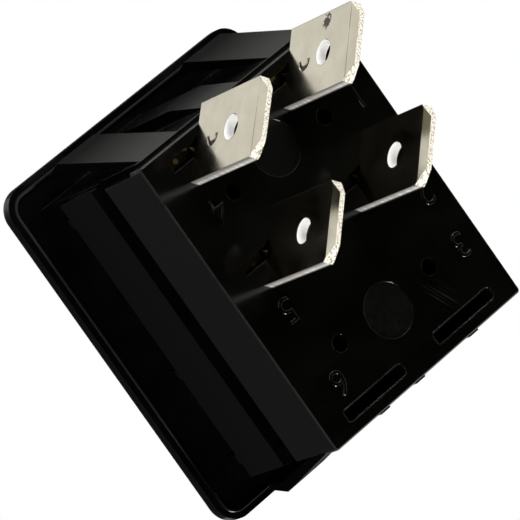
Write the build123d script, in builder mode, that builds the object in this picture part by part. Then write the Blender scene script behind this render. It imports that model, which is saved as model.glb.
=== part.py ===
from build123d import *
from math import cos, radians, sin, sqrt, tan
import os

# Two-pole panel rocker switch with four twisted blade tabs, in millimetres.
# The origin is the centre of the panel seat, +Z points out of the panel's front, +X along the switch.
# The rocker rests in its off position, with its -X half pressed in.

# Bezel flange
flange_end_overlap = 2.55
flange_side_overlap = 2.45
flange_corner = 2.0
bezel_height = 1.5
bezel_edge = 0.8
seat_lip = 0.7
seat_recess = 0.35

# Body behind the panel
body_length = 25.8
body_width = 21.7
base_depth = 15.6
end_wall = 0.8
side_wall = 1.0
chamber_wall = 0.9
well_inset = 1.35
part_gap = 0.1

# Long raised rib on each side wall, with small gussets on its flange side
rib_end_inset = 0.2
rib_proud = 0.25
rib_height = 5.0
groove_width = 1.5
gusset_width = 0.8
gusset_height = 2.4
gusset_inset = 1.85
gusset_middle = 3.1

# Sprung wings and a guide rib at each short end
wing_proud = 2.55
wing_depth = 3.7
wing_tip_depth = 1.7
wing_tip_return = 0.6
wing_width = 4.15
wing_inset = 3.575
wing_thickness = 0.9
wing_tip = 0.45
wing_root = 2.7
guide_width = 3.6
guide_proud = 1.0
guide_lead = 4.9

# Terminal base
plate_thickness = 1.6
skirt_depth = 5.7
skirt_wall = 1.0
plate_shift = 0.2
edge_chamfer = 0.12
nub_width = 1.0
nub_proud = 0.12
gate_y = 1.1
plate_corner = 0.3
snap_length = 0.9
snap_width = 0.8
slot_width = 0.95
slot_gap = 0.1
vent_radius = 0.7
vent_pitch = 14.0
ejector_radius = 2.2
ejector_pitch = 15.0
ejector_depth = 0.12
stop_reach = 4.4
stop_length = 1.2
stop_width = 3.0

# Blade tabs
pole_inset = 5.65
tab_row_inset = 1.6
vacant_row_inset = 1.3
common_row = -1.9
tab_width = 6.3
tab_thickness = 0.8
tab_length = 9.9
tab_twists = {1: 42.5, 2: 43.0, 4: 40.8, 5: 42.5}
tab_corner = 1.15
tab_bevel = 0.9
tab_bevel_depth = 0.2
tab_hole_radius = 1.0
tab_hole_reach = 5.3
tab_mark_radius = 0.8
tab_mark_width = 0.35
tab_mark_depth = 0.12
tab_mark_reach = 2.5
neck_width = 0.8
neck_length = 1.45
shoulder_width = 6.7
shoulder_height = 0.8
tongue_width = 5.0
bend_radius = 0.6

# Contact rivets
contact_inset = 3.4
contact_radius = 1.4
contact_head = 0.4
contact_dome = 4.0
shank_radius = 0.75
shank_gap = 0.02
contact_gap = 0.05
tongue_margin = 2.2

# See-saw contact levers
fulcrum_height = 3.0
fulcrum_radius = 0.5
lever_width = 4.6
lever_thickness = 0.8
lever_bend = 12.0
lever_tilt = 6.0
lever_tail = 5.2
lever_end = 0.4
lever_seat_gap = 0.03

# Rocker
pivot_depth = 1.5
rocker_tilt = 12.0
rocker_rise = 3.8
rocker_valley = 8.0
rocker_end_gap = 0.3
rocker_side_gap = 0.3
rocker_skirt = 2.0
rocker_wall = 1.2
rocker_edge = 0.5
trunnion_radius = 1.4
trunnion_length = 0.55
trunnion_gap = 0.05
ledge_width = 1.4
ledge_height = 1.2
ledge_gap = 0.1

# Spring plungers in the rocker
boss_wall = 0.9
boss_clear = 2.2
bore_gap = 0.05
bore_roof = 1.6
plunger_radius = 1.45
plunger_guide = 2.3
plunger_overhang = 0.5
pocket_depth = 1.2
pocket_wall = 0.4
nose_radius = 0.9
nose_gap = 0.11
spring_wire = 0.15
spring_turns = 3
spring_facets = 4
spring_gap = 0.05

# Levels and places worked out from the sizes above
flange_length = body_length + 2 * flange_end_overlap
flange_width = body_width + 2 * flange_side_overlap
plate_inside = plate_thickness - base_depth
skirt_edge = skirt_depth - base_depth
rib_rear = base_depth - skirt_depth - groove_width
rib_front = rib_rear - rib_height
rib_length = body_length - 2 * rib_end_inset
gusset_end = body_length / 2 - gusset_inset
gusset_places = (-gusset_end, gusset_middle, gusset_end)
well_width = body_width - 2 * well_inset
rear_wall_width = body_width - 2 * skirt_wall - 2 * part_gap
front_wall_width = well_width + 2 * side_wall
rib_width = body_width + 2 * rib_proud
well_length = body_length - 2 * end_wall
contact_reach = well_length / 2 - contact_inset
wing_reach = body_length / 2 + wing_proud
wing_y = body_width / 2 - wing_inset
well_floor = chamber_wall - rib_rear
pole_y = body_width / 2 - pole_inset
tab_row = tab_row_inset - body_length / 2
vacant_row = body_length / 2 - vacant_row_inset
slot_length = tab_width + 2 * slot_gap
tabs = {1: (tab_row, -pole_y), 2: (common_row, -pole_y), 4: (tab_row, pole_y), 5: (common_row, pole_y)}
poles = {"a": pole_y, "b": -pole_y}
sides = (1, -1)

# The lever's pivot, and where its domed contact comes down on the fixed one
fulcrum = plate_inside + fulcrum_height
lever_pivot = fulcrum + lever_seat_gap
lever_rise = lever_thickness / cos(radians(lever_bend))
closed = radians(lever_bend - lever_tilt)
contact_crown = contact_dome - sqrt(contact_dome**2 - contact_radius**2)
dome_centre = contact_dome - contact_head - contact_crown
touch_x = dome_centre * sin(closed) - contact_reach * cos(closed)
touch_z = lever_pivot + contact_reach * sin(closed) + dome_centre * cos(closed) - contact_dome
tongue_top = touch_z - contact_gap - contact_head
common_top = fulcrum - fulcrum_radius

# The rocker's outline about its own pivot, and the plungers below it
rocker_pivot = -pivot_depth
rocker_radius = well_length / 2 - rocker_end_gap
rocker_width = well_width - 2 * rocker_side_gap
rocker_bottom = sqrt(rocker_radius**2 - rocker_skirt**2)
nose_reach = rocker_pivot - lever_pivot - lever_rise - nose_gap
boss_end = nose_reach - boss_clear
bore_top = rocker_rise - bore_roof
guide_end = boss_end + plunger_overhang
guide_back = guide_end - plunger_guide
pocket_floor = guide_back + pocket_depth


def pitched(angle, height, y=0.0):
    """An XZ plane through a pivot on the centre line, turned by an angle about +Y."""
    turn = radians(angle)
    return Plane(origin=(0, y, height), x_dir=(cos(turn), 0, -sin(turn)), z_dir=(0, -1, 0))


def end_plane(end, y):
    """An upright plane through one short end, with local X pointing outwards."""
    return Plane(origin=(0, y, 0), x_dir=(end, 0, 0), z_dir=(0, -end, 0))


def side_plane(side, x):
    """An upright plane through one long side, with local X pointing outwards."""
    return Plane(origin=(x, 0, 0), x_dir=(0, side, 0), z_dir=(side, 0, 0))


os.makedirs("parts", exist_ok=True)

# Housing: bezel, walls, ribs, wings and guide ribs in one moulding
with BuildPart() as housing:
    with BuildSketch(Plane.XY):
        RectangleRounded(flange_length, flange_width, flange_corner)
    extrude(amount=bezel_height)
    fillet(housing.faces().sort_by(Axis.Z)[-1].edges(), bezel_edge)
    with BuildSketch(Plane.XY):
        RectangleRounded(flange_length - 2 * seat_lip, flange_width - 2 * seat_lip, flange_corner - seat_lip)
    extrude(amount=seat_recess, mode=Mode.SUBTRACT)
    with BuildSketch(Plane.XY.offset(seat_recess)):
        Rectangle(body_length, front_wall_width)
    extrude(amount=-seat_recess - rib_rear)
    with BuildSketch(Plane.XY.offset(-rib_rear)):
        Rectangle(body_length, rear_wall_width)
    extrude(amount=plate_inside + rib_rear)
    # Long ribs and their gussets
    with BuildSketch(Plane.XY.offset(-rib_rear)):
        Rectangle(rib_length, rib_width)
    extrude(amount=rib_rear - rib_front)
    for side in sides:
        for place in gusset_places:
            with BuildSketch(side_plane(side, place)):
                with BuildLine():
                    Polyline(
                        (front_wall_width / 2, -rib_front),
                        (rib_width / 2, -rib_front),
                        (front_wall_width / 2, gusset_height - rib_front),
                        close=True,
                    )
                make_face()
            extrude(amount=gusset_width / 2, both=True)
    # Wings that spring inwards: joined to the end wall at the rear, free beside the flange
    for end in sides:
        for side in sides:
            with BuildSketch(end_plane(end, side * wing_y)):
                with BuildLine():
                    Polyline(
                        (body_length / 2 - end_wall / 2, plate_inside),
                        (body_length / 2, plate_inside),
                        (wing_reach, -wing_depth),
                        (wing_reach - wing_tip_return, -wing_tip_depth),
                        (wing_reach - wing_tip_return - wing_tip, -wing_tip_depth),
                        (wing_reach - wing_thickness, -wing_depth),
                        (body_length / 2, plate_inside + wing_root),
                        (body_length / 2 - end_wall / 2, plate_inside + wing_root),
                        close=True,
                    )
                make_face()
            extrude(amount=wing_width / 2, both=True)
        with BuildSketch(end_plane(end, 0)):
            with BuildLine():
                Polyline(
                    (body_length / 2 - end_wall / 2, plate_inside),
                    (body_length / 2, plate_inside),
                    (body_length / 2 + guide_proud, plate_inside + guide_lead),
                    (body_length / 2 + guide_proud, seat_recess),
                    (body_length / 2 - end_wall / 2, seat_recess),
                    close=True,
                )
            make_face()
        extrude(amount=guide_width / 2, both=True)
    # Well for the rocker, and the narrower contact chamber behind it
    with BuildSketch(Plane.XY.offset(bezel_height)):
        Rectangle(well_length, well_width)
    extrude(amount=well_floor - bezel_height, mode=Mode.SUBTRACT)
    with BuildSketch(Plane.XY.offset(well_floor)):
        Rectangle(well_length, rear_wall_width - 2 * chamber_wall)
    extrude(amount=plate_inside - well_floor, mode=Mode.SUBTRACT)
    # Ledges that stop the rocker's ends
    stop_drop = rocker_bottom * sin(radians(rocker_tilt)) + rocker_skirt * cos(radians(rocker_tilt))
    with BuildSketch(Plane.XY.offset(rocker_pivot - stop_drop - ledge_gap)):
        with GridLocations(well_length - ledge_width, 0, 2, 1):
            Rectangle(ledge_width, well_width)
    extrude(amount=-ledge_height)
    # Blind bearings for the rocker's trunnions
    for side in sides:
        with BuildSketch(Plane(origin=(0, side * well_width / 2, rocker_pivot), z_dir=(0, side, 0))):
            Circle(trunnion_radius + trunnion_gap)
        extrude(amount=trunnion_length + trunnion_gap, mode=Mode.SUBTRACT)
    # Nubs in the groove at one end, which the base's skirts snap past
    for side in sides:
        with BuildSketch(Plane.XY.offset(-rib_rear)):
            with Locations((rib_length / 2 - snap_length, side * (rear_wall_width + snap_width) / 2)):
                Rectangle(snap_length, snap_width)
        extrude(amount=skirt_edge + rib_rear + part_gap)
housing.part.label = "housing"
export_step(housing.part, "parts/housing.step")

# Terminal base: rear plate with two side skirts, slots, vents and lever stops
with BuildPart() as terminal_base:
    with BuildSketch(Plane.XY.offset(-base_depth)):
        with Locations((plate_shift, 0)):
            Rectangle(body_length, body_width)
    extrude(amount=plate_thickness)
    fillet(terminal_base.edges().filter_by(Axis.Z), plate_corner)
    chamfer(terminal_base.faces().sort_by(Axis.Z)[0].edges(), edge_chamfer)
    with BuildSketch(Plane.XY.offset(plate_inside)):
        with Locations((plate_shift, 0)):
            with GridLocations(0, body_width - skirt_wall, 1, 2):
                Rectangle(body_length - 2 * plate_corner, skirt_wall)
    extrude(amount=skirt_edge - plate_inside)
    # Small nubs on the far end: one behind each vacant slot, and the stub of the moulding gate
    with BuildSketch(Plane.XY.offset(edge_chamfer - base_depth)):
        with Locations(*[(body_length / 2 + plate_shift, y) for y in (pole_y, -pole_y, gate_y)]):
            Rectangle(2 * nub_proud, nub_width)
    extrude(amount=plate_thickness - 2 * edge_chamfer)
    with BuildSketch(Plane.XY.offset(-base_depth)):
        for row in (tab_row, common_row, vacant_row):
            with Locations((row, pole_y), (row, -pole_y)):
                Rectangle(slot_width, slot_length)
        with Locations(*tabs.values()):
            Circle(sqrt(neck_width**2 + tab_thickness**2) / 2 + part_gap)
        with GridLocations(vent_pitch, 2 * pole_y, 2, 2):
            Circle(vent_radius)
    extrude(amount=plate_thickness, mode=Mode.SUBTRACT)
    with BuildSketch(Plane.XY.offset(-base_depth)):
        with GridLocations(ejector_pitch, 0, 2, 1):
            Circle(ejector_radius)
    extrude(amount=ejector_depth, mode=Mode.SUBTRACT)
    # Posts that stop each lever's tail in the off position
    for y in poles.values():
        with BuildSketch(pitched(0, lever_pivot - contact_gap, y)):
            with BuildLine():
                Polyline(
                    (stop_reach - stop_length, plate_inside - lever_pivot + contact_gap),
                    (stop_reach, plate_inside - lever_pivot + contact_gap),
                    (stop_reach, stop_reach * tan(closed)),
                    (stop_reach - stop_length, (stop_reach - stop_length) * tan(closed)),
                    close=True,
                )
            make_face()
        extrude(amount=stop_width / 2, both=True)
terminal_base.part.label = "terminal_base"
export_step(terminal_base.part, "parts/terminal_base.step")

# Terminals: the blade outside, a neck twisted in the slot and a bent strip inside
for number, (row, y) in tabs.items():
    across = radians(90 - tab_twists[number])
    wide = Vector(cos(across), sin(across), 0)
    thick = Vector(-sin(across), cos(across), 0)
    is_common = row == common_row
    strip_top = common_top if is_common else tongue_top
    tongue_x = 2 * fulcrum_radius if is_common else touch_x + tongue_margin
    root = (row, y, -base_depth)
    blade_plane = Plane(origin=root, x_dir=wide, z_dir=thick)
    with BuildPart() as terminal:
        # Side view with its bevelled tip, then the front view with its cut corners and hole
        with BuildSketch(Plane(origin=root, x_dir=thick, z_dir=-wide)):
            with BuildLine():
                Polyline(
                    (-tab_thickness / 2, 0),
                    (tab_thickness / 2, 0),
                    (tab_thickness / 2, tab_length - tab_bevel),
                    (tab_thickness / 2 - tab_bevel_depth, tab_length),
                    (tab_bevel_depth - tab_thickness / 2, tab_length),
                    (-tab_thickness / 2, tab_length - tab_bevel),
                    close=True,
                )
            make_face()
        extrude(amount=tab_width / 2, both=True)
        with BuildSketch(blade_plane) as front:
            with Locations((0, tab_length / 2)):
                Rectangle(tab_width, tab_length)
            chamfer(front.vertices().group_by(Axis.Y)[-1], tab_corner)
            with Locations((0, tab_hole_reach)):
                Circle(tab_hole_radius, mode=Mode.SUBTRACT)
        extrude(amount=tab_thickness, both=True, mode=Mode.INTERSECT)
        if not is_common:
            with BuildSketch(blade_plane.offset(tab_thickness / 2)):
                with Locations((0, tab_mark_reach)):
                    Circle(tab_mark_radius)
                    Circle(tab_mark_radius - tab_mark_width, mode=Mode.SUBTRACT)
                with Locations((-tab_mark_radius, tab_mark_reach)):
                    Rectangle(2 * tab_mark_radius, 2 * tab_mark_radius, mode=Mode.SUBTRACT)
            extrude(amount=-tab_mark_depth, mode=Mode.SUBTRACT)
        with BuildSketch(Plane(origin=root, x_dir=wide, z_dir=(0, 0, 1))):
            Rectangle(neck_width, tab_thickness)
        with BuildSketch(Plane(origin=(row, y, neck_length - base_depth), x_dir=(0, 1, 0), z_dir=(0, 0, 1))):
            Rectangle(neck_width, tab_thickness)
        loft()
        with BuildSketch(Plane.XY.offset(neck_length - base_depth)):
            with Locations((row, y)):
                Rectangle(tab_thickness, tab_width)
        extrude(amount=plate_thickness - neck_length)
        with BuildSketch(Plane.XY.offset(plate_inside)):
            with Locations((row, y)):
                Rectangle(tab_thickness, shoulder_width)
        extrude(amount=shoulder_height)
        with BuildSketch(pitched(0, 0, y)) as strip:
            with BuildLine():
                Polyline(
                    (row - tab_thickness / 2, plate_inside),
                    (row + tab_thickness / 2, plate_inside),
                    (row + tab_thickness / 2, strip_top - tab_thickness),
                    (tongue_x, strip_top - tab_thickness),
                    (tongue_x, strip_top),
                    (row - tab_thickness / 2, strip_top),
                    close=True,
                )
            make_face()
            fillet(strip.vertices().group_by(Axis.Y)[-1].sort_by(Axis.X)[0], bend_radius)
        extrude(amount=tongue_width / 2, both=True)
        if is_common:
            with BuildSketch(pitched(0, common_top, y)):
                Circle(fulcrum_radius)
            extrude(amount=lever_width / 2, both=True)
        else:
            with BuildSketch(Plane.XY.offset(strip_top)):
                with Locations((touch_x, y)):
                    Circle(shank_radius + shank_gap)
            extrude(amount=-tab_thickness, mode=Mode.SUBTRACT)
    terminal.part.label = f"terminal_{number}"
    export_step(terminal.part, f"parts/terminal_{number}.step")

# The parts of each pole
for pole, y in poles.items():
    # Fixed contact: a rivet through the end terminal's tongue
    with BuildPart() as fixed_contact:
        with BuildSketch(Plane.XY.offset(tongue_top)):
            with Locations((touch_x, y)):
                Circle(contact_radius)
        extrude(amount=contact_head)
        with BuildSketch(Plane.XY.offset(tongue_top)):
            with Locations((touch_x, y)):
                Circle(shank_radius)
        extrude(amount=-tab_thickness)
    fixed_contact.part.label = f"fixed_contact_{pole}"
    export_step(fixed_contact.part, f"parts/fixed_contact_{pole}.step")

    # Contact lever: a strip bent up on both sides of its pivot, resting tail down
    lever_arm = contact_reach * cos(radians(lever_bend)) + contact_radius + lever_end
    lever_slope = tan(radians(lever_bend))
    arm_plane = pitched(lever_tilt + lever_bend, lever_pivot, y)
    with BuildPart() as contact_lever:
        with BuildSketch(pitched(lever_tilt, lever_pivot, y)):
            with BuildLine():
                Polyline(
                    (0, 0),
                    (lever_tail, lever_tail * lever_slope),
                    (lever_tail, lever_tail * lever_slope + lever_rise),
                    (0, lever_rise),
                    (-lever_arm, lever_arm * lever_slope + lever_rise),
                    (-lever_arm, lever_arm * lever_slope),
                    close=True,
                )
            make_face()
        extrude(amount=lever_width / 2, both=True)
        rivet = arm_plane.from_local_coords((-contact_reach, 0, 0))
        with BuildSketch(Plane(origin=rivet, z_dir=arm_plane.y_dir)):
            Circle(shank_radius + shank_gap)
        extrude(amount=lever_thickness, mode=Mode.SUBTRACT)
    contact_lever.part.label = f"contact_lever_{pole}"
    export_step(contact_lever.part, f"parts/contact_lever_{pole}.step")

    # Moving contact: a domed rivet through the lever's arm
    rivet_plane = Plane(origin=rivet, x_dir=arm_plane.x_dir, z_dir=arm_plane.z_dir)
    with BuildPart() as moving_contact:
        with BuildSketch(rivet_plane):
            with BuildLine():
                Polyline(
                    (0, -contact_head - contact_crown),
                    (0, lever_thickness),
                    (shank_radius, lever_thickness),
                    (shank_radius, 0),
                    (contact_radius, 0),
                    (contact_radius, -contact_head),
                )
                RadiusArc((contact_radius, -contact_head), (0, -contact_head - contact_crown), contact_dome)
            make_face()
        revolve(axis=Axis(rivet_plane.origin, rivet_plane.y_dir))
    moving_contact.part.label = f"moving_contact_{pole}"
    export_step(moving_contact.part, f"parts/moving_contact_{pole}.step")

    # Plunger: guided in the rocker's bore, with a round nose and a pocket for its spring
    plunger_plane = pitched(-rocker_tilt, rocker_pivot, y)
    plunger_axis = Axis(plunger_plane.origin, plunger_plane.y_dir)
    pocket_radius = plunger_radius - pocket_wall
    with BuildPart() as plunger:
        with BuildSketch(plunger_plane):
            with BuildLine():
                Polyline(
                    (0, -nose_reach),
                    (0, -pocket_floor),
                    (pocket_radius, -pocket_floor),
                    (pocket_radius, -guide_back),
                    (plunger_radius, -guide_back),
                    (plunger_radius, -guide_end),
                    (nose_radius, -guide_end),
                    (nose_radius, nose_radius - nose_reach),
                )
                RadiusArc((nose_radius, nose_radius - nose_reach), (0, -nose_reach), nose_radius)
            make_face()
        revolve(axis=plunger_axis)
    plunger.part.label = f"plunger_{pole}"
    export_step(plunger.part, f"parts/plunger_{pole}.step")

    # Coil spring between the plunger's pocket and the roof of the bore
    coil_radius = pocket_radius - spring_wire - spring_gap
    coil_low = spring_wire + spring_gap - pocket_floor
    coil_height = bore_top - spring_wire - spring_gap - coil_low
    coil_start = plunger_plane.from_local_coords((0, coil_low, 0))
    with BuildPart() as plunger_spring:
        with BuildLine() as coil:
            Helix(coil_height / spring_turns, coil_height, coil_radius, coil_start, plunger_plane.y_dir)
        with BuildSketch(Plane(origin=coil.line @ 0, z_dir=coil.line % 0)):
            RegularPolygon(spring_wire, spring_facets)
        sweep()
    plunger_spring.part.label = f"plunger_spring_{pole}"
    export_step(plunger_spring.part, f"parts/plunger_spring_{pole}.step")

# Rocker: a hollow key on two trunnions, with a sprung bore for each pole
rocker_plane = pitched(-rocker_tilt, rocker_pivot)
rocker_slope = tan(radians(rocker_tilt))
key_walls = {Mode.ADD: 0.0, Mode.SUBTRACT: rocker_wall}
with BuildPart() as rocker:
    # Two finger faces that meet in a valley, and round ends about the pivot; then the same set in, to hollow it
    for mode, inset in key_walls.items():
        radius = rocker_radius - inset
        rise = rocker_rise - inset
        drop = rise * rocker_slope
        square = 1 + rocker_slope**2
        top_x = (sqrt(drop**2 - square * (rise**2 - radius**2)) - drop) / square
        top_z = rise + rocker_slope * top_x
        low_x = sqrt(radius**2 - rocker_skirt**2)
        with BuildSketch(rocker_plane):
            with BuildLine():
                FilletPolyline((-top_x, top_z), (0, rise), (top_x, top_z), radius=rocker_valley)
                ThreePointArc((top_x, top_z), (radius, 0), (low_x, -rocker_skirt))
                Line((low_x, -rocker_skirt), (-low_x, -rocker_skirt))
                ThreePointArc((-low_x, -rocker_skirt), (-radius, 0), (-top_x, top_z))
            make_face()
        extrude(amount=rocker_width / 2 - inset, both=True, mode=mode)
    finger_faces = rocker.faces().filter_by(lambda face: face.normal_at().dot(rocker_plane.y_dir) > rocker_edge)
    rim = [
        edge
        for edge in finger_faces.edges()
        if abs(edge.center().Y) > rocker_edge or abs(edge.center().X) > rocker_radius / 2
    ]
    fillet(rim, rocker_edge)
    # Web and bosses under the key
    with BuildSketch(rocker_plane):
        with Locations((0, (rocker_rise - rocker_wall / 2) / 2)):
            Rectangle(rocker_wall, rocker_rise - rocker_wall / 2)
    extrude(amount=rocker_width / 2 - rocker_wall / 2, both=True)
    for y in poles.values():
        boss_plane = Plane(origin=pitched(-rocker_tilt, rocker_pivot, y).origin, z_dir=rocker_plane.y_dir)
        with BuildSketch(boss_plane.offset(-boss_end)):
            Circle(plunger_radius + bore_gap + boss_wall)
        extrude(amount=boss_end + rocker_rise - rocker_wall / 2)
        with BuildSketch(boss_plane.offset(-boss_end)):
            Circle(plunger_radius + bore_gap)
        extrude(amount=boss_end + bore_top, mode=Mode.SUBTRACT)
    for side in sides:
        with BuildSketch(Plane(origin=(0, side * (rocker_width / 2 - rocker_wall), rocker_pivot), z_dir=(0, side, 0))):
            Circle(trunnion_radius)
        extrude(amount=rocker_wall + rocker_side_gap + trunnion_length)
rocker.part.label = "rocker"
export_step(rocker.part, "parts/rocker.step")
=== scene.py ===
import math

import bmesh
import bpy
from mathutils import Matrix, Vector


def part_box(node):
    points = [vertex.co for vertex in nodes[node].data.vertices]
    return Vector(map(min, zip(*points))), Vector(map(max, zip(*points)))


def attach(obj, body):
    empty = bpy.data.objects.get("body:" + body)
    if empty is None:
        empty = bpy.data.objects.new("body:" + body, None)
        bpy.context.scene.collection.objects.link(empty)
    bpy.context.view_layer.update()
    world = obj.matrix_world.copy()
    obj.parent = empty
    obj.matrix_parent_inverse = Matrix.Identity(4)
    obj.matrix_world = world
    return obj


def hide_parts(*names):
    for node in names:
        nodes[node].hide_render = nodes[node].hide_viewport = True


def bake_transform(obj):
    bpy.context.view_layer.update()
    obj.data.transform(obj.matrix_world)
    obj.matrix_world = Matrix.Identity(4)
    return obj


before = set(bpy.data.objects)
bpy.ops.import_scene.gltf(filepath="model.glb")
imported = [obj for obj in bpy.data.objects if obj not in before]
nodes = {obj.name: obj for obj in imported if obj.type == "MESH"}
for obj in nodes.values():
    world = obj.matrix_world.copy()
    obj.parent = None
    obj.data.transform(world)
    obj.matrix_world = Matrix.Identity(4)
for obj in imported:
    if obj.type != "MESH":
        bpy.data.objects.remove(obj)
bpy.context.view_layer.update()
scene = bpy.context.scene
scene.view_settings.view_transform = "Standard"
mm = 0.001
print("frame loaded:", len(nodes), "nodes")

# objects and meshes


def addObject(name, mesh, body, material):
    obj = bpy.data.objects.new(name, mesh)
    scene.collection.objects.link(obj)
    dress(mesh, material)
    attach(obj, body)
    return obj


def dress(mesh, material):
    mesh.materials.clear()
    mesh.materials.append(material)


def facing(origin, right, up):
    # a matrix whose local X and Y lie along right and up, with local Z out of the surface
    right, up = Vector(right).normalized(), Vector(up).normalized()
    out = right.cross(up)
    return Matrix.Translation(origin) @ Matrix((right, up, out)).transposed().to_4x4()


def wireThrough(name, points, wire, rounding):
    # a round wire, straight from point to point
    curve = bpy.data.curves.new(name, "CURVE")
    curve.dimensions = "3D"
    curve.bevel_depth = wire
    curve.bevel_resolution = rounding
    spline = curve.splines.new("POLY")
    spline.points.add(len(points) - 1)
    for point, place in zip(spline.points, points):
        point.co = (*place, 1)
    return curve


def meshFromCurve(curve, sharpAngle=None):
    # smooth all over, or only across edges flatter than an angle
    maker = bpy.data.objects.new("maker", curve)
    scene.collection.objects.link(maker)
    shaped = maker.evaluated_get(bpy.context.evaluated_depsgraph_get())
    mesh = bpy.data.meshes.new_from_object(shaped)
    bpy.data.objects.remove(maker)
    for polygon in mesh.polygons:
        polygon.use_smooth = True
    if sharpAngle is not None:
        mesh.set_sharp_from_angle(angle=math.radians(sharpAngle))
    return mesh


def squareMesh(name, size):
    half = size / 2
    mesh = bpy.data.meshes.new(name)
    corners = [(-half, -half, 0), (half, -half, 0), (half, half, 0), (-half, half, 0)]
    mesh.from_pydata(corners, [], [(0, 1, 2, 3)])
    return mesh


# shader nodes


def startMaterial(name):
    mat = bpy.data.materials.new(name)
    mat.use_nodes = True
    tree = mat.node_tree
    shader = tree.nodes["Principled BSDF"]
    coords = tree.nodes.new("ShaderNodeTexCoord")
    return mat, tree, shader, coords


def addNoise(tree, coords, scale, detail=3.0, stretch=(1, 1, 1), turn=(0, 0, 0)):
    # turned first, then stretched
    mapping = tree.nodes.new("ShaderNodeMapping")
    mapping.vector_type = "TEXTURE"
    mapping.inputs["Scale"].default_value = [1 / part for part in stretch]
    mapping.inputs["Rotation"].default_value = turn
    noise = tree.nodes.new("ShaderNodeTexNoise")
    noise.inputs["Scale"].default_value = scale
    noise.inputs["Detail"].default_value = detail
    tree.links.new(coords.outputs["Object"], mapping.inputs["Vector"])
    tree.links.new(mapping.outputs["Vector"], noise.inputs["Vector"])
    return noise.outputs["Fac"]


def addRange(tree, value, fromLow, fromHigh, toLow=0, toHigh=1):
    node = tree.nodes.new("ShaderNodeMapRange")
    node.inputs["From Min"].default_value = fromLow
    node.inputs["From Max"].default_value = fromHigh
    node.inputs["To Min"].default_value = toLow
    node.inputs["To Max"].default_value = toHigh
    tree.links.new(value, node.inputs["Value"])
    return node.outputs["Result"]


def addMix(tree, factor, first, second):
    # first and second are colours or sockets
    node = tree.nodes.new("ShaderNodeMix")
    node.data_type = "RGBA"
    tree.links.new(factor, node.inputs["Factor"])
    for socket, value in ((node.inputs["A"], first), (node.inputs["B"], second)):
        if isinstance(value, bpy.types.NodeSocket):
            tree.links.new(value, socket)
        else:
            socket.default_value = (*value, 1.0)
    return node.outputs["Result"]


def addMath(tree, operation, first, second=0.0):
    # first and second are numbers or sockets
    node = tree.nodes.new("ShaderNodeMath")
    node.operation = operation
    for socket, value in zip(node.inputs, (first, second)):
        if isinstance(value, bpy.types.NodeSocket):
            tree.links.new(value, socket)
        else:
            socket.default_value = value
    return node.outputs[0]


def addBlend(tree, factor, first, second):
    # a number that goes from first to second as factor goes from 0 to 1
    rise = addMath(tree, "SUBTRACT", second, first)
    return addMath(tree, "ADD", first, addMath(tree, "MULTIPLY", rise, factor))


def addAxes(tree, vector):
    node = tree.nodes.new("ShaderNodeSeparateXYZ")
    tree.links.new(vector, node.inputs["Vector"])
    return node.outputs


def addVector(tree, operation, vector, fixed):
    # DISTANCE from a fixed place, or DOT_PRODUCT with a fixed direction
    node = tree.nodes.new("ShaderNodeVectorMath")
    node.operation = operation
    tree.links.new(vector, node.inputs[0])
    node.inputs[1].default_value = fixed
    return node.outputs["Value"]


def addBump(tree, height, depth, strength=1.0, normal=None):
    node = tree.nodes.new("ShaderNodeBump")
    node.inputs["Strength"].default_value = strength
    node.inputs["Distance"].default_value = depth
    tree.links.new(height, node.inputs["Height"])
    if normal is not None:
        tree.links.new(normal, node.inputs["Normal"])
    return node.outputs["Normal"]


def roundedEdges(tree, radius):
    # the small round that a moulding or stamping has along each edge
    node = tree.nodes.new("ShaderNodeBevel")
    node.samples = 6
    node.inputs["Radius"].default_value = radius
    return node.outputs["Normal"]


# where on the switch a finish changes

colourBand = (0.35, 0.65)  # the part of a noise over which colours change
glossBand = (0.3, 0.7)  # and over which roughness changes
squareOn = (0.85, 0.95)  # share of a normal along an axis, on a face square to it
slantFrom = (0.3, 0.5)  # and on a face that slants towards it
hairline = 0.02 * mm


def fromMiddle(tree, vector, axis):
    return addMath(tree, "ABSOLUTE", addAxes(tree, vector)[axis])


def outerFaces(tree, coords, beyond):
    # 1 on faces that look along +Y or -Y and lie further out than a given distance
    place = fromMiddle(tree, coords.outputs["Object"], "Y")
    turned = fromMiddle(tree, coords.outputs["Normal"], "Y")
    far = addRange(tree, place, beyond, beyond + hairline)
    return addMath(tree, "MULTIPLY", far, addRange(tree, turned, *squareOn))


def nearPoint(tree, coords, place, inner, outer, within=1):
    # 1 within a small distance of a place, fading to 0; or the other way round
    away = addVector(tree, "DISTANCE", coords.outputs["Object"], place)
    return addRange(tree, away, inner, outer, within, 1 - within)


def wingSheenFaces(tree, coords, look):
    # where painted sheen is laid: 0 near the flange, rising to 1 at the rear end of a wing's sloping face
    place = addAxes(tree, coords.outputs["Object"])
    outwards = addMath(tree, "ABSOLUTE", place["X"])
    slope = addMath(tree, "SUBTRACT", outwards, addMath(tree, "MULTIPLY", place["Z"], look["wingSlope"]))
    onSlope = addRange(tree, slope, look["wingLine"] - look["wingEdge"], look["wingLine"])
    turned = fromMiddle(tree, coords.outputs["Normal"], "X")
    facesOut = addMath(tree, "MULTIPLY", onSlope, addRange(tree, turned, *look["wingFacing"]))
    return addMath(tree, "MULTIPLY", facesOut, addRange(tree, place["Z"], *look["wingSheenFade"]))


def seamFaces(tree, coords, beyond):
    # 1 on the small chamfers that run along both long edges of the rear
    place = fromMiddle(tree, coords.outputs["Object"], "Y")
    turned = fromMiddle(tree, coords.outputs["Normal"], "Y")
    notFlat = addRange(tree, turned, *slantFrom)
    slanted = addMath(tree, "MULTIPLY", notFlat, addRange(tree, turned, *squareOn, 1, 0))
    return addMath(tree, "MULTIPLY", slanted, addRange(tree, place, beyond, beyond + hairline))


# moulded plastics: glossy black, with a matte finish on the outer faces of ribs and skirts

grainStrength, flowStrength = 0.6, 0.5


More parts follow.
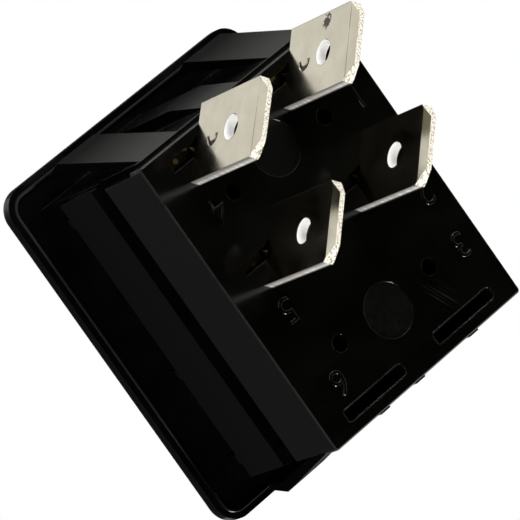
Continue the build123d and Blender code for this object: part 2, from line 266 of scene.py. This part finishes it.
def mouldedPlastic(name, look):
    mat, tree, shader, coords = startMaterial(name)
    cloud = addNoise(tree, coords, look["cloudScale"], 4.0, look.get("cloudStretch", (1, 1, 1)))
    grain = addNoise(tree, coords, look["grainScale"], 2.0)
    tint = addMix(tree, addRange(tree, cloud, *colourBand), look["colour"], look["paler"])
    roughness = addRange(tree, cloud, *glossBand, *look["roughness"])
    if "matteBeyond" in look:
        matte = outerFaces(tree, coords, look["matteBeyond"])
        tint = addMix(tree, matte, tint, look["matteColour"])
        roughness = addBlend(tree, matte, roughness, look["matteRoughness"])
    # painted sheen: the wings' sloping faces turn paler towards their rear ends
    if "wingSheenColour" in look:
        tint = addMix(tree, wingSheenFaces(tree, coords, look), tint, look["wingSheenColour"])
    if "seamBeyond" in look:
        # dull, with a few bright dots
        speckle = addNoise(tree, coords, look["seamScale"], 1.0)
        dots = addRange(tree, speckle, *look["seamDots"], *look["seamRoughness"])
        roughness = addBlend(tree, seamFaces(tree, coords, look["seamBeyond"]), roughness, dots)
    if "wornFrom" in look:
        # polished by wear at one end only
        lengthways = addAxes(tree, coords.outputs["Object"])["X"]
        unworn = addRange(tree, lengthways, *look["wornFrom"], 1, 0)
        roughness = addBlend(tree, unworn, roughness, look["unwornRoughness"])
    if "scuff" in look:
        turn = (0, 0, look["scuffTurn"])
        streaks = addNoise(tree, coords, look["scuffScale"], 2.0, look["scuffStretch"], turn)
        scuffed = nearPoint(tree, coords, look["scuff"], *look["scuffSize"])
        scuffed = addMath(tree, "MULTIPLY", scuffed, addRange(tree, streaks, *look["scuffBand"]))
        tint = addMix(tree, scuffed, tint, look["scuffColour"])
    for disc, (discColour, discRoughness) in look.get("discs", {}).items():
        worn = nearPoint(tree, coords, disc, look["discRim"] * look["discSize"], look["discSize"])
        specks = addRange(tree, addNoise(tree, coords, look["discScale"]), *colourBand, look["discFaint"], 1)
        tint = addMix(tree, addMath(tree, "MULTIPLY", worn, specks), tint, discColour)
        roughness = addBlend(tree, worn, roughness, discRoughness)
    tree.links.new(tint, shader.inputs["Base Color"])
    tree.links.new(roughness, shader.inputs["Roughness"])
    normal = addBump(tree, grain, look["grainDepth"], grainStrength, roundedEdges(tree, look["edge"]))
    if "flowDepth" in look:
        flow = addNoise(tree, coords, look["flowScale"], 2.0, look["flowStretch"], look["flowTurn"])
        normal = addBump(tree, flow, look["flowDepth"], flowStrength, normal)
    tree.links.new(normal, shader.inputs["Normal"])
    shader.inputs["Specular IOR Level"].default_value = look["specular"]
    return mat


housingLook = dict(
    colour=(0.0007, 0.0007, 0.0006), paler=(0.0013, 0.0013, 0.0012), roughness=(0.2, 0.3), specular=0.18,
    cloudScale=260, grainScale=7000, grainDepth=0.004 * mm, edge=0.04 * mm,
    matteBeyond=10.95 * mm, matteColour=(0.0024, 0.0024, 0.0023), matteRoughness=0.5,
    # painted sheen on the wings' sloping faces
    wingSheenColour=(0.058, 0.058, 0.053), wingSlope=0.2476, wingLine=16.3 * mm, wingEdge=0.15 * mm,
    wingFacing=(0.6, 0.8), wingSheenFade=(-5.0 * mm, -15.0 * mm),
)
baseLook = dict(
    colour=(0.0005, 0.0005, 0.0003), paler=(0.0012, 0.0012, 0.0007), roughness=(0.13, 0.2), specular=0.85,
    cloudScale=320, cloudStretch=(1, 0.5, 1), grainScale=3600, grainDepth=0.003 * mm, edge=0.04 * mm,
    flowScale=900, flowStretch=(1, 0.12, 1), flowTurn=(0, 0, math.radians(35)), flowDepth=0.005 * mm,
    matteBeyond=10.8 * mm, matteColour=(0.0012, 0.0012, 0.0011), matteRoughness=0.45,
    # the two ejector-pin marks, matte; the one at -X is darker, painted shade from the tab beside it
    discs={
        (-7.5 * mm, 0, -15.5 * mm): ((0.0016, 0.0016, 0.0012), 0.25),
        (7.5 * mm, 0, -15.5 * mm): ((0.0026, 0.0026, 0.0019), 0.27),
    },
    discSize=2.2 * mm, discRim=0.97, discScale=2400, discFaint=0.25,
    # scratches beside the mark at the empty end
    scuff=(8.8 * mm, -4.5 * mm, -15.6 * mm), scuffSize=(1.0 * mm, 2.4 * mm),
    scuffTurn=math.radians(-27), scuffStretch=(0.03, 1, 1), scuffScale=7000, scuffBand=(0.58, 0.75),
    scuffColour=(0.008, 0.008, 0.0065),
    seamBeyond=10.5 * mm, seamScale=1800, seamDots=(0.62, 0.7), seamRoughness=(0.95, 0.3),
)
rockerLook = dict(
    colour=(0.009, 0.009, 0.009), paler=(0.012, 0.012, 0.012), roughness=(0.2, 0.3), specular=0.4,
    cloudScale=240, grainScale=7000, grainDepth=0.004 * mm, edge=0.1 * mm,
)
plungerLook = dict(
    colour=(0.72, 0.7, 0.62), paler=(0.8, 0.78, 0.7), roughness=(0.35, 0.45), specular=0.4,
    cloudScale=400, grainScale=9000, grainDepth=0.004 * mm, edge=0.06 * mm,
)
housingPlastic = mouldedPlastic("matte black moulding", housingLook)
basePlastic = mouldedPlastic("glossy black moulding", baseLook)
rockerPlastic = mouldedPlastic("polished black key", rockerLook)
plungerPlastic = mouldedPlastic("natural plunger moulding", plungerLook)

# plated blades

tabLook = dict(
    plating=(0.6, 0.56, 0.45), dulled=(0.53, 0.49, 0.385), platingBand=(0.35, 0.7), cloudScale=420,
    roughness=(0.12, 0.22), specular=0.12, edge=0.07 * mm,
    across=math.radians(47.5),  # the way a blade's width lies, from the X axis
    lineScale=2600, lineStretch=(0.05, 1, 1), lineDepth=0.003 * mm, lineStrength=0.5,
    # the stain colour, used for real stains and also laid as painted shade in each curl
    stainAndShade=(0.05, 0.04, 0.03), stainScale=520, stainFrom=0.735, stainFade=0.03,
    # one dark stain near the end of a tab
    spot=(-13.19 * mm, -6.67 * mm, -21.03 * mm), spotSize=0.85 * mm, spotCore=0.2,
    spotScale=3500, spotRagged=1.8, spotBand=(1.35, 1.5),
    # a pressed line where the bevelled tip begins
    bevelLine=-24.55 * mm, bevelLineWidth=(0.03 * mm, 0.06 * mm),
    bevelLineBand=(0.42, 0.6), bevelLineShare=(0.15, 0.7),
    # the stamped curl on the end tabs, where painted shade fills half a ring
    curls=((-11.603 * mm, 5.461 * mm, -18.1 * mm), (-11.595 * mm, -4.93 * mm, -18.1 * mm)),
    curlOuter=(0.8 * mm, 0.86 * mm), curlInner=(0.4 * mm, 0.46 * mm), curlCut=0.1 * mm,
    # sheared edges
    sheared=(0.82, 0.78, 0.66), shearedDark=(0.26, 0.23, 0.16), shearedBand=(0.36, 0.52),
    shearedRoughness=0.65, shearedMetal=0.15, edgeFacing=(0.3, 0.5), endFacing=(0.4, 0.6),
    toothScale=5200, endToothScale=1.6 * 5200, toothDepth=0.04 * mm, toothStrength=0.8,
    toothStretch=(0.08, 0.08, 1), endToothStretch=(1, 1, 0.08),
    # the long edges: painted shade darkens them towards the root, and darker bands beside the seen face and
    # along the far corner are painted shade standing in for a rolled-over and a rounded edge
    longEdge=(0.52, 0.5, 0.46), longEdgeRootShade=(0.33, 0.32, 0.295), longEdgeShadeFade=(-24.0 * mm, -16.5 * mm),
    longEdgeBright=(0.85, 0.83, 0.77), brightBand=(0.52, 0.64), brightShare=0.8,
    rolledEdgeShade=(-0.06 * mm, 0.3 * mm), rolledShadeColour=(0.17, 0.162, 0.148),
    farCornerShade=(-0.33 * mm, -0.13 * mm), farShadeColour=(0.02, 0.019, 0.017),
    # the holes: their wall carries a painted reflection, near white, on its root side, and painted shade on
    # its far side
    holes=(
        (-11.3 * mm, 5.2 * mm, -20.9 * mm), (-11.3 * mm, -5.2 * mm, -20.9 * mm),
        (-1.9 * mm, 5.2 * mm, -20.9 * mm), (-1.9 * mm, -5.2 * mm, -20.9 * mm),
    ),
    holeReach=(1.1 * mm, 1.15 * mm), holeWallLit=(1.0, 0.99, 0.97), holeWallShade=(0.12, 0.11, 0.1),
    holeFacing=(-0.1, 0.3),
    # in the slot: painted shade, with golden flecks of bare brass colour as painted glints
    brassGlint=(0.34, 0.25, 0.08), slotShade=(0.03, 0.022, 0.012), slotShadeAbove=-15.62 * mm, slotShadeFade=0.1 * mm,
    glintScale=1500, glintBand=(0.62, 0.66),
)


def acrossBlade(tree, coords, look):
    # how far a point lies from the middle of its own blade's thickness, towards the seen face
    place = addAxes(tree, coords.outputs["Object"])
    first, opposite, second = look["holes"][:3]
    secondPair = addMath(tree, "GREATER_THAN", place["X"], (first[0] + second[0]) / 2)
    otherRow = addMath(tree, "LESS_THAN", place["Y"], (first[1] + opposite[1]) / 2)
    stepX = addMath(tree, "MULTIPLY", secondPair, second[0] - first[0])
    stepY = addMath(tree, "MULTIPLY", otherRow, opposite[1] - first[1])
    offX = addMath(tree, "SUBTRACT", place["X"], addMath(tree, "ADD", stepX, first[0]))
    offY = addMath(tree, "SUBTRACT", place["Y"], addMath(tree, "ADD", stepY, first[1]))
    shareX = addMath(tree, "MULTIPLY", offX, -math.sin(look["across"]))
    shareY = addMath(tree, "MULTIPLY", offY, math.cos(look["across"]))
    return addMath(tree, "ADD", shareX, shareY)


def platingStainsAndShade(tree, coords, look, cloud, level):
    tint = addMix(tree, addRange(tree, cloud, *look["platingBand"]), look["plating"], look["dulled"])
    spots = addNoise(tree, coords, look["stainScale"], 2.0)
    spotted = addRange(tree, spots, look["stainFrom"], look["stainFrom"] + look["stainFade"])
    tint = addMix(tree, spotted, tint, look["stainAndShade"])
    blot = nearPoint(tree, coords, look["spot"], look["spotCore"] * look["spotSize"], look["spotSize"])
    ragged = addMath(tree, "MULTIPLY", addNoise(tree, coords, look["spotScale"]), look["spotRagged"])
    blot = addRange(tree, addMath(tree, "ADD", blot, ragged), *look["spotBand"])
    tint = addMix(tree, blot, tint, look["stainAndShade"])
    offLine = addMath(tree, "ABSOLUTE", addMath(tree, "SUBTRACT", level, look["bevelLine"]))
    onLine = addRange(tree, offLine, *look["bevelLineWidth"], 1, 0)
    broken = addRange(tree, cloud, *look["bevelLineBand"], *look["bevelLineShare"])
    tint = addMix(tree, addMath(tree, "MULTIPLY", onLine, broken), tint, look["stainAndShade"])
    # painted shade fills half of a ring in each curl's recess
    widthways = (math.cos(look["across"]), math.sin(look["across"]), 0)
    for curl in look["curls"]:
        outside = nearPoint(tree, coords, curl, *look["curlOuter"])
        ring = addMath(tree, "MULTIPLY", outside, nearPoint(tree, coords, curl, *look["curlInner"], 0))
        below = addVector(tree, "DOT_PRODUCT", coords.outputs["Object"], widthways)
        middle = curl[0] * widthways[0] + curl[1] * widthways[1]
        half = addRange(tree, below, middle - look["curlCut"], middle)
        tint = addMix(tree, addMath(tree, "MULTIPLY", ring, half), tint, look["stainAndShade"])
    return tint


def longEdgeTint(tree, coords, look, level, teeth):
    # painted shade: darker towards the root
    tint = addMix(tree, addRange(tree, level, *look["longEdgeShadeFade"]), look["longEdge"], look["longEdgeRootShade"])
    bright = addRange(tree, teeth, *look["brightBand"], 0, look["brightShare"])
    tint = addMix(tree, bright, tint, look["longEdgeBright"])
    depth = acrossBlade(tree, coords, look)
    # painted shade: darker bands beside the seen face and along the far corner
    tint = addMix(tree, addRange(tree, depth, *look["rolledEdgeShade"]), tint, look["rolledShadeColour"])
    return addMix(tree, addRange(tree, depth, *look["farCornerShade"], 1, 0), tint, look["farShadeColour"])


def platedTab(look):
    mat, tree, shader, coords = startMaterial("tin-plated blade")
    cloud = addNoise(tree, coords, look["cloudScale"], 4.0)
    level = addAxes(tree, coords.outputs["Object"])["Z"]
    tint = platingStainsAndShade(tree, coords, look, cloud, level)
    # the narrow edges and the hole's wall are sheared: rougher and toothed, the edges paler; the hole's wall
    # carries painted light and shade
    outOfFace = (-math.sin(look["across"]), math.cos(look["across"]), 0)
    turned = addVector(tree, "DOT_PRODUCT", coords.outputs["Normal"], outOfFace)
    onEdge = addRange(tree, addMath(tree, "ABSOLUTE", turned), *look["edgeFacing"], 1, 0)
    onEnd = addRange(tree, fromMiddle(tree, coords.outputs["Normal"], "Z"), *look["endFacing"])
    sideTeeth = addNoise(tree, coords, look["toothScale"], 1.0, look["toothStretch"])
    endTeeth = addNoise(tree, coords, look["endToothScale"], 1.0, look["endToothStretch"])
    teeth = addBlend(tree, onEnd, sideTeeth, endTeeth)
    endTint = addMix(tree, addRange(tree, teeth, *look["shearedBand"]), look["shearedDark"], look["sheared"])
    edgeTint = addMix(tree, onEnd, longEdgeTint(tree, coords, look, level, sideTeeth), endTint)
    inHole = nearPoint(tree, coords, look["holes"][0], *look["holeReach"])
    for hole in look["holes"][1:]:
        inHole = addMath(tree, "MAXIMUM", inHole, nearPoint(tree, coords, hole, *look["holeReach"]))
    # painted reflection near white on the wall's root side, painted shade on its far side
    shadedSide = addRange(tree, addAxes(tree, coords.outputs["Normal"])["Z"], *look["holeFacing"])
    litAndShadedWall = addMix(tree, shadedSide, look["holeWallLit"], look["holeWallShade"])
    tint = addMix(tree, onEdge, tint, addMix(tree, inHole, edgeTint, litAndShadedWall))
    # painted shade in the slot, broken by painted glints of brass colour
    inSlot = addRange(tree, level, look["slotShadeAbove"], look["slotShadeAbove"] + look["slotShadeFade"])
    brassGlints = addRange(tree, addNoise(tree, coords, look["glintScale"], 1.0), *look["glintBand"])
    tint = addMix(tree, inSlot, tint, addMix(tree, brassGlints, look["slotShade"], look["brassGlint"]))
    tree.links.new(tint, shader.inputs["Base Color"])
    roughness = addRange(tree, cloud, *glossBand, *look["roughness"])
    roughness = addBlend(tree, onEdge, roughness, look["shearedRoughness"])
    tree.links.new(roughness, shader.inputs["Roughness"])
    edgeMetal = addMath(tree, "MULTIPLY", look["shearedMetal"], addMath(tree, "SUBTRACT", 1.0, inHole))
    dullShare = addMath(tree, "MULTIPLY", onEdge, addMath(tree, "SUBTRACT", 1.0, edgeMetal))
    tree.links.new(addMath(tree, "SUBTRACT", 1.0, dullShare), shader.inputs["Metallic"])
    shader.inputs["Specular IOR Level"].default_value = look["specular"]
    # rolled lines run across the blade, and teeth stand on its edges outside the holes
    turn = (0, 0, look["across"])
    lines = addNoise(tree, coords, look["lineScale"], 2.0, look["lineStretch"], turn)
    normal = addBump(tree, lines, look["lineDepth"], look["lineStrength"], roundedEdges(tree, look["edge"]))
    relief = addMath(tree, "MULTIPLY", addMath(tree, "MAXIMUM", teeth, inHole), onEdge)
    normal = addBump(tree, relief, look["toothDepth"], look["toothStrength"], normal)
    tree.links.new(normal, shader.inputs["Normal"])
    return mat


# metals inside

wireLines = dict(scale=3000, stretch=(0.1, 1, 1), depth=0.003 * mm, strength=0.5, edge=0.06 * mm)


def innerMetal(name, look):
    mat, tree, shader, coords = startMaterial(name)
    cloud = addNoise(tree, coords, look["cloudScale"], 4.0)
    tint = addMix(tree, addRange(tree, cloud, *colourBand), look["colour"], look["dulled"])
    tree.links.new(tint, shader.inputs["Base Color"])
    roughness = addRange(tree, cloud, *glossBand, *look["roughness"])
    tree.links.new(roughness, shader.inputs["Roughness"])
    lines = addNoise(tree, coords, wireLines["scale"], 2.0, wireLines["stretch"])
    rounded = roundedEdges(tree, wireLines["edge"])
    normal = addBump(tree, lines, wireLines["depth"], wireLines["strength"], rounded)
    tree.links.new(normal, shader.inputs["Normal"])
    shader.inputs["Metallic"].default_value = 1.0
    return mat


leverLook = dict(colour=(0.74, 0.5, 0.27), dulled=(0.62, 0.4, 0.2), roughness=(0.25, 0.38), cloudScale=380)
contactLook = dict(colour=(0.84, 0.83, 0.8), dulled=(0.74, 0.73, 0.7), roughness=(0.3, 0.42), cloudScale=700)
springLook = dict(colour=(0.62, 0.62, 0.61), dulled=(0.5, 0.5, 0.5), roughness=(0.22, 0.34), cloudScale=900)
tabPlating = platedTab(tabLook)
leverStrip = innerMetal("copper alloy strip", leverLook)
contactSilver = innerMetal("silver contact", contactLook)
springSteel = innerMetal("spring wire", springLook)

nodeLooks = {
    "housing": housingPlastic, "terminal_base": basePlastic, "rocker": rockerPlastic,
    "terminal": tabPlating, "contact_lever": leverStrip, "moving_contact": contactSilver,
    "fixed_contact": contactSilver, "plunger_spring": springSteel, "plunger": plungerPlastic,
}
for nodeName, node in nodes.items():
    family = max((key for key in nodeLooks if nodeName.startswith(key)), key=len)
    dress(node.data, nodeLooks[family])
print("CAD nodes dressed")

# terminal numbers on the rear

numberLook = dict(
    height=2.1 * mm, capShare=0.7, stroke=0.08 * mm, rounding=6, sharpAngle=25, proud=0.1 * mm, sink=0.03 * mm,
    places={  # in millimetres
        "4": (-6.71, 7.29), "5": (2.41, 7.39), "6": (9.12, 7.3),
        "1": (-6.8, -8.6), "2": (2.3, -8.6), "3": (7.15, -8.58),
    },
)
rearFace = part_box("terminal_base")[0].z


def raisedNumber(text, x, y, look):
    curve = bpy.data.curves.new("number " + text, "FONT")
    curve.body = text
    curve.size = look["height"] / look["capShare"]
    curve.align_x = "CENTER"
    curve.align_y = "CENTER"
    curve.extrude = (look["proud"] + look["sink"]) / 2
    curve.bevel_depth = look["stroke"]
    curve.bevel_resolution = look["rounding"]
    curve.offset = -look["stroke"]
    mesh = meshFromCurve(curve, look["sharpAngle"])
    # read from the rear: along +Y, with its head towards +X
    level = rearFace - (look["proud"] - look["sink"]) / 2
    mesh.transform(facing((x * mm, y * mm, level), (0, 1, 0), (1, 0, 0)))
    return addObject("number_" + text, mesh, "housing_group", basePlastic)


for text, (x, y) in numberLook["places"].items():
    raisedNumber(text, x, y, numberLook)
print("terminal numbers raised")

# soft lips round the two vacant slots, and a fine bead on the inner edge of the flange lip

lipLook = dict(
    centres={"slot_lip_6": (11.6 * mm, 5.2 * mm), "slot_lip_3": (11.6 * mm, -5.2 * mm)},
    size=(1.1 * mm, 6.75 * mm), corner=0.4 * mm, wire=0.06 * mm, sink=0.045 * mm,
)
beadLook = dict(size=(29.65 * mm, 25.35 * mm), corner=1.4 * mm, wire=0.15 * mm, level=0.1 * mm)
beadPolish = dict(
    colour=(0.0007, 0.0007, 0.0006), paler=(0.0013, 0.0013, 0.0012), roughness=(0.22, 0.32), specular=0.7,
    cloudScale=260, grainScale=7000, grainDepth=0.004 * mm, edge=0.02 * mm,
    wornFrom=(4.0 * mm, 11.0 * mm), unwornRoughness=0.95,
)
beadPlastic = mouldedPlastic("polished flange edge", beadPolish)
cornerSteps, wireRounding = 6, 3


def roundedWire(name, centre, level, look, material):
    corner = look["corner"]
    halfX, halfY = look["size"][0] / 2 - corner, look["size"][1] / 2 - corner
    points = []
    for quarter, (sideX, sideY) in enumerate(((1, 1), (-1, 1), (-1, -1), (1, -1))):
        for step in range(cornerSteps + 1):
            angle = math.radians(90 * quarter + 90 / cornerSteps * step)
            px = centre[0] + sideX * halfX + corner * math.cos(angle)
            py = centre[1] + sideY * halfY + corner * math.sin(angle)
            points.append((px, py, level))
    curve = wireThrough(name, points, look["wire"], wireRounding)
    curve.splines[0].use_cyclic_u = True
    return addObject(name, meshFromCurve(curve), "housing_group", material)


for lipName, centre in lipLook["centres"].items():
    roundedWire(lipName, centre, rearFace + lipLook["sink"], lipLook, basePlastic)
roundedWire("flange_bead", (0, 0), beadLook["level"], beadLook, beadPlastic)
print("slot lips and flange bead laid")

# on and off marks on the key

markLook = dict(
    paint=(0.78, 0.78, 0.75), fadedShare=0.9, paintBand=(0.35, 0.7), cloudScale=900,
    roughness=(0.4, 0.55), bumpDepth=0.01 * mm, bumpStrength=0.4,
    pivot=(0, 0, -1.5 * mm), restTilt=-12.0, faceTilt=12.0, rise=3.8 * mm, reach=6.2 * mm,
    barLength=3.6 * mm, barWidth=0.62 * mm, ringOuter=1.75 * mm, ringInner=1.2 * mm,
    proud=0.012 * mm, sink=0.04 * mm,
)


def markPaint(look):
    mat, tree, shader, coords = startMaterial("white marking paint")
    cloud = addNoise(tree, coords, look["cloudScale"], 4.0)
    faded = [look["fadedShare"] * part for part in look["paint"]]
    tint = addMix(tree, addRange(tree, cloud, *look["paintBand"]), look["paint"], faded)
    tree.links.new(tint, shader.inputs["Base Color"])
    tree.links.new(addRange(tree, cloud, *glossBand, *look["roughness"]), shader.inputs["Roughness"])
    normal = addBump(tree, cloud, look["bumpDepth"], look["bumpStrength"])
    tree.links.new(normal, shader.inputs["Normal"])
    return mat


whitePaint = markPaint(markLook)


def slab(outline, hole, low, high):
    # a flat plate between two levels, from an outer loop of points and an inner one or None
    mesh = bmesh.new()
    rings = []
    for loop in (outline, hole) if hole else (outline,):
        rings.append([[mesh.verts.new((x, y, z)) for x, y in loop] for z in (low, high)])
    for bottom, top in rings:
        for i in range(len(top)):
            j = (i + 1) % len(top)
            mesh.faces.new((bottom[i], bottom[j], top[j], top[i]))
    if hole:
        for outer, inner in zip(*rings):
            for i in range(len(outer)):
                j = (i + 1) % len(outer)
                mesh.faces.new((outer[i], outer[j], inner[j], inner[i]))
    else:
        mesh.faces.new(rings[0][1])
        mesh.faces.new(rings[0][0])
    bmesh.ops.recalc_face_normals(mesh, faces=mesh.faces)
    data = bpy.data.meshes.new("marking")
    mesh.to_mesh(data)
    mesh.free()
    return data


def circlePoints(radius, count=48):
    angles = [2 * math.pi * i / count for i in range(count)]
    return [(radius * math.cos(angle), radius * math.sin(angle)) for angle in angles]


def barPoints(look):
    x, y = look["barLength"] / 2, look["barWidth"] / 2
    return [(-x, -y), (x, -y), (x, y), (-x, y)]


def keyFrame(sideways=0):
    # the key's own frame at rest: origin on its pivot, local Z out of its front
    pivot = Vector(markLook["pivot"]) + Vector((0, sideways, 0))
    return Matrix.Translation(pivot) @ Matrix.Rotation(math.radians(markLook["restTilt"]), 4, "Y")


def fingerFace(side):
    # the frame of one finger face: local X across the key, local Z out of the face
    tilt = Matrix.Rotation(math.radians(-side * markLook["faceTilt"]), 4, "Y")
    middle = Matrix.Translation((0, 0, markLook["rise"])) @ tilt
    return keyFrame() @ (middle @ Matrix.Translation((side * markLook["reach"], 0, 0)))


def markOnKey(name, side, outline, hole=None):
    mesh = slab(outline, hole, -markLook["sink"], markLook["proud"])
    mesh.transform(fingerFace(side))
    addObject(name, mesh, "rocker_group", whitePaint)


markOnKey("on_mark", 1, barPoints(markLook))
markOnKey("off_mark", -1, circlePoints(markLook["ringOuter"]), circlePoints(markLook["ringInner"]))
print("key marked")

# coil springs in place of the CAD springs, each as long as the one it replaces

coilLook = dict(
    wire=0.14 * mm, rounding=2, radius=0.85 * mm, turns=8, stepsInTurn=18, endRise=0.3 * mm,
    sideways=5.2 * mm, sharpAngle=60,
)


def coilPoints(low, high, look):
    # the first and last turns are closed, and the others share the rest of the length
    openTurns = look["turns"] - 2
    points = []
    for step in range(look["turns"] * look["stepsInTurn"] + 1):
        turn = step / look["stepsInTurn"]
        fromLow, fromHigh = min(turn, 1), min(look["turns"] - turn, 1)
        opened = min(max(turn - 1, 0), openTurns) / openTurns
        rise = look["endRise"] * (fromLow + 1 - fromHigh) + (high - low - 2 * look["endRise"]) * opened
        angle = 2 * math.pi * turn
        points.append((look["radius"] * math.cos(angle), look["radius"] * math.sin(angle), low + rise))
    return points


def coilSpring(pole, side, look):
    nodeName = "plunger_spring_" + pole
    bore = keyFrame(side * look["sideways"])
    # as long as the CAD spring, along the bore
    heights = [(bore.inverted() @ vertex.co).z for vertex in nodes[nodeName].data.vertices]
    low, high = min(heights) + look["wire"], max(heights) - look["wire"]
    curve = wireThrough(nodeName, coilPoints(low, high, look), look["wire"], look["rounding"])
    curve.use_fill_caps = True
    mesh = meshFromCurve(curve, look["sharpAngle"])
    mesh.transform(bore)
    dress(mesh, springSteel)
    spring = bpy.data.objects.new("coil_spring_" + pole, mesh)
    scene.collection.objects.link(spring)
    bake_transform(spring)
    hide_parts(nodeName)


coilSpring("a", 1, coilLook)
coilSpring("b", -1, coilLook)
print("springs coiled")

# studio: floor and world

studioLook = dict(
    floorLevel=-0.7, floorSize=6.0, floorColour=(0.8, 0.8, 0.8), floorRoughness=0.9, floorSpecular=0.1,
    worldLight=0.35, background=1.0,
)
white, black = (1, 1, 1, 1), (0, 0, 0, 1)


def studioFloor(look):
    mesh = squareMesh("floor", look["floorSize"])
    floor = bpy.data.objects.new("floor", mesh)
    floor.location.z = look["floorLevel"]
    scene.collection.objects.link(floor)
    mat, tree, shader, coords = startMaterial("pale floor")
    shader.inputs["Base Color"].default_value = (*look["floorColour"], 1)
    shader.inputs["Roughness"].default_value = look["floorRoughness"]
    shader.inputs["Specular IOR Level"].default_value = look["floorSpecular"]
    mesh.materials.append(mat)


def studioWorld(look):
    # white where it is seen, mirrored or seen through; dimmer as a light
    world = bpy.data.worlds.new("studio")
    world.use_nodes = True
    tree = world.node_tree
    tree.nodes.clear()
    path = tree.nodes.new("ShaderNodeLightPath").outputs
    seen = addMath(tree, "MAXIMUM", path["Is Camera Ray"], path["Is Glossy Ray"])
    seen = addMath(tree, "MAXIMUM", seen, path["Is Transmission Ray"])
    shade = tree.nodes.new("ShaderNodeBackground")
    shade.inputs["Color"].default_value = white
    strength = addRange(tree, seen, 0, 1, look["worldLight"], look["background"])
    tree.links.new(strength, shade.inputs["Strength"])
    out = tree.nodes.new("ShaderNodeOutputWorld")
    tree.links.new(shade.outputs[0], out.inputs["Surface"])
    scene.world = world


# dark cards stand where the plastic mirrors them; only reflections see them, and their faint glow is a painted
# reflection
cardLook = {
    "rear card": dict(place=(0.1, -0.1, -0.5), size=1.5, glow=0.002),
    "side card": dict(place=(0.07, 0.2, 0.28), size=0.44, glow=0.008),
    "flank card": dict(place=(0.1, 0.5, -0.1), size=0.7, glow=0.008),
    "end card": dict(place=(-0.18, -0.18, 0.24), size=0.26, glow=0.08),
    "rim card": dict(place=(0.04, -0.2, 0.32), size=0.4, glow=0.02),
}


def aimAtSwitch(obj, place, front):
    obj.location = place
    obj.rotation_mode = "QUATERNION"
    obj.rotation_quaternion = (-Vector(place)).to_track_quat(front, "Y")
    scene.collection.objects.link(obj)


def studioCard(name, look):
    mesh = squareMesh(name, look["size"])
    card = bpy.data.objects.new(name, mesh)
    aimAtSwitch(card, look["place"], "Z")
    mat, tree, shader, coords = startMaterial(name)
    shader.inputs["Base Color"].default_value = black
    shader.inputs["Specular IOR Level"].default_value = 0
    shader.inputs["Emission Color"].default_value = white
    shader.inputs["Emission Strength"].default_value = look["glow"]
    mesh.materials.append(mat)
    card.visible_camera = False
    card.visible_diffuse = False
    card.visible_shadow = False
    card.visible_transmission = False


# broad lamps light the switch; two small ones make the glints on its edges
lampLook = {
    "key": dict(place=(-0.3, -0.18, -0.28), size=0.3, watts=2.2, glints=False),
    "fill": dict(place=(0.2, 0.28, -0.2), size=0.3, watts=2.0, glints=False),
    "front": dict(place=(0.1, -0.25, 0.4), size=0.35, watts=1.6, glints=False),
    "upper glint": dict(place=(-0.3, -0.18, -0.28), size=0.1, watts=1.2, glints=True),
    "lower glint": dict(place=(0.41, 0.12, -0.11), size=0.1, watts=1.7, glints=True),
}


def studioLamp(name, look):
    lamp = bpy.data.lights.new(name, "AREA")
    lamp.size = look["size"]
    lamp.energy = look["watts"]
    obj = bpy.data.objects.new(name, lamp)
    aimAtSwitch(obj, look["place"], "-Z")
    obj.visible_glossy = look["glints"]
    obj.visible_diffuse = not look["glints"]


studioFloor(studioLook)
studioWorld(studioLook)
for cardName, look in cardLook.items():
    studioCard(cardName, look)
for lampName, look in lampLook.items():
    studioLamp(lampName, look)
print("studio lit")

# camera, behind and below the switch

cameraLook = dict(
    place=(-53.89 * mm, 199.57 * mm, -330.32 * mm), aim=(0.78 * mm, -2.54 * mm, -0.41 * mm),
    roll=-112.18, lens=347.0, sensor=36, nearest=0.01, furthest=20,
)


def photoCamera(look):
    data = bpy.data.cameras.new("camera")
    data.sensor_width = look["sensor"]
    data.lens = look["lens"]
    data.clip_start, data.clip_end = look["nearest"], look["furthest"]
    camera = bpy.data.objects.new("camera", data)
    scene.collection.objects.link(camera)
    ahead = (Vector(look["aim"]) - Vector(look["place"])).normalized()
    level = ahead.cross(Vector((0, 0, 1))).normalized()
    upright = level.cross(ahead)
    turn = math.radians(look["roll"])
    right = level * math.cos(turn) + upright * math.sin(turn)
    up = upright * math.cos(turn) - level * math.sin(turn)
    camera.matrix_world = facing(look["place"], right, up)
    scene.camera = camera


photoCamera(cameraLook)
print("camera placed")
